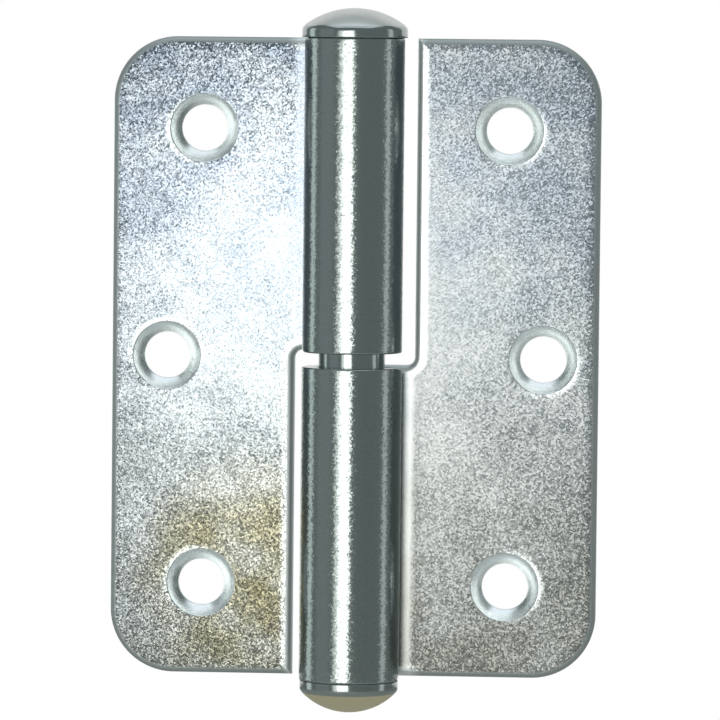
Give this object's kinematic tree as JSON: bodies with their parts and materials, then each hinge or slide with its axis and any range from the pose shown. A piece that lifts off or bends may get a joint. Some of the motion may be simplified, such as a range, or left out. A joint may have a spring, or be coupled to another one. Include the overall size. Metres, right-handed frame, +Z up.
{
  "type": "surface mount lift-off hinge",
  "caption": "Lift-off door hinge for surface mounting: pressed steel leaves with rolled knuckles on a headed pin, round outer corners, countersunk screw holes and a domed end plug.",
  "frame": {"origin": "on the pin's axis, halfway up the leaves", "axes": "+X from the door leaf to the frame leaf with the hinge laid flat, +Y from the barrel side to the mounting side, +Z up along the pin towards the end plug"},
  "size_m": [0.084, 0.0182, 0.1206],
  "materials": {
    "zinc_plated_sheet": "bright zinc plate over rolled sheet, finely speckled",
    "zinc_plated_pin": "zinc plate over turned steel, satin",
    "zinc_plated_plug": "zinc plate over pressed steel, satin"
  },
  "bodies": {
    "frame_half": {"frame_leaf": "zinc_plated_sheet", "hinge_pin": "zinc_plated_pin"},
    "lift_carrier": {"end_plug": "zinc_plated_plug"},
    "door_half": {"door_leaf": "zinc_plated_sheet"}
  },
  "joints": [
    {"name": "lift_off", "type": "slide", "parent": "frame_half", "child": "lift_carrier", "axis": [0, 0, 1], "range_m": [0, 0.05]},
    {"name": "swing", "type": "hinge", "parent": "lift_carrier", "child": "door_half", "pos_m": [0, 0, 0], "axis": [0, 0, 1], "range_deg": [-95, 190]}
  ]
}
